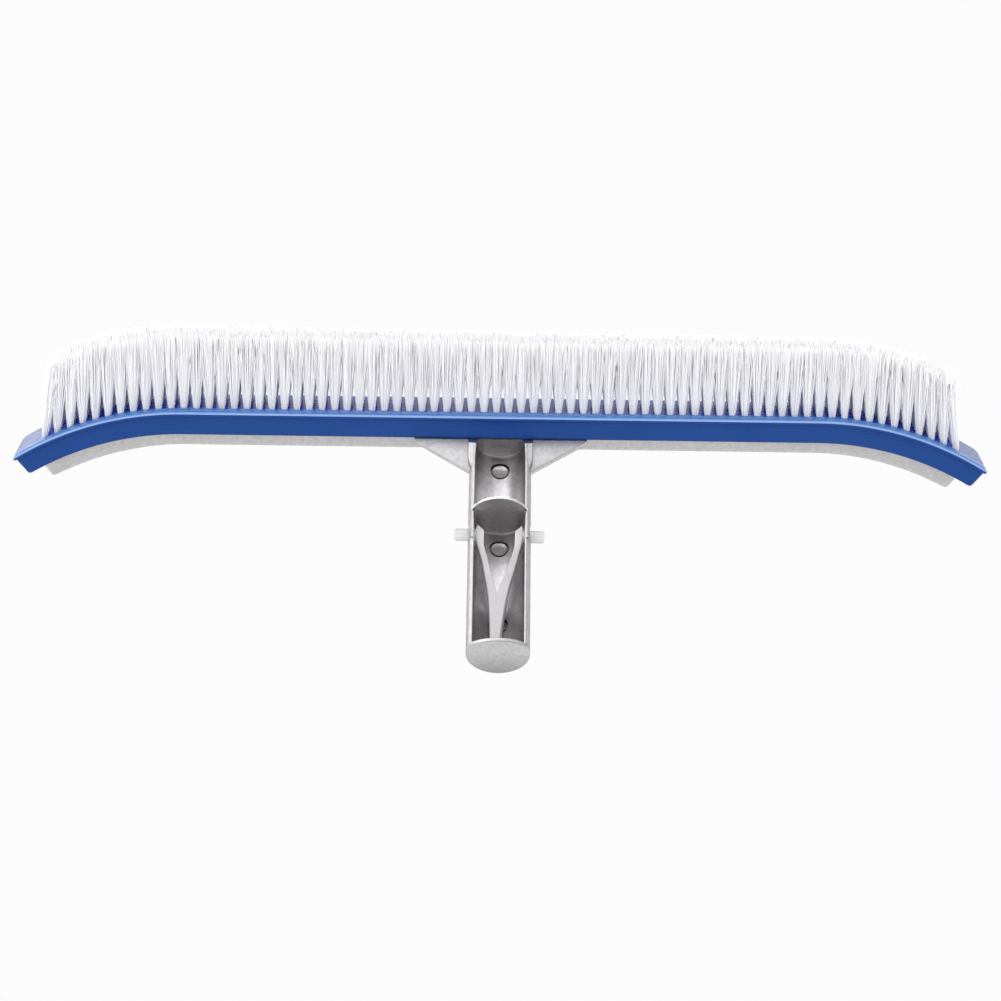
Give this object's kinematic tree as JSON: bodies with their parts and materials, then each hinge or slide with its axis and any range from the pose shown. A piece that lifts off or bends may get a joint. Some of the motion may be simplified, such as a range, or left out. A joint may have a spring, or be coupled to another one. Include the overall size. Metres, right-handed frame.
{
  "type": "pool wall brush",
  "caption": "Curved pool wall brush head: plastic block with nylon tufts, cast aluminium back with half-open pole handle and sprung V clip with side buttons.",
  "frame": {"origin": "middle of the flat face at the free end of the handle, on the handle's axis", "axes": "+X along the head towards its right end, +Z the way the bristles point, -Y the way the handle comes forward; the handle's axis runs from the origin along (0, 0.8018, 0.5976) to the head"},
  "size_m": [0.4572, 0.1405, 0.1331],
  "materials": {
    "blue_plastic": "semi-gloss moulded",
    "white_nylon": "translucent white filament",
    "cast_aluminium": "as cast, lightly brushed",
    "white_clip_plastic": "satin moulded",
    "screw_steel": "plated"
  },
  "bodies": {
    "brush": {"brush_block": "blue_plastic", "bristle_row_1": "white_nylon", "bristle_row_2": "white_nylon", "bristle_row_3": "white_nylon", "bristle_row_4": "white_nylon", "back_casting": "cast_aluminium", "clip_stem": "white_clip_plastic", "screw_1": "screw_steel", "screw_2": "screw_steel", "screw_3": "screw_steel", "screw_4": "screw_steel", "screw_5": "screw_steel", "screw_6": "screw_steel"},
    "left_arm": {"clip_arm_left": "white_clip_plastic"},
    "right_arm": {"clip_arm_right": "white_clip_plastic"}
  },
  "joints": [
    {"name": "left_button_press", "type": "hinge", "parent": "brush", "child": "left_arm", "pos_m": [-0.00285, 0.02771, 0.02065], "axis": [0, 0.5976, -0.8018], "range_deg": [0, 11], "stiffness_Nm_per_rad": 2.5},
    {"name": "right_button_press", "type": "hinge", "parent": "brush", "child": "right_arm", "pos_m": [0.00125, 0.02763, 0.02059], "axis": [0, -0.5976, 0.8018], "range_deg": [0, 11], "stiffness_Nm_per_rad": 2.5}
  ]
}
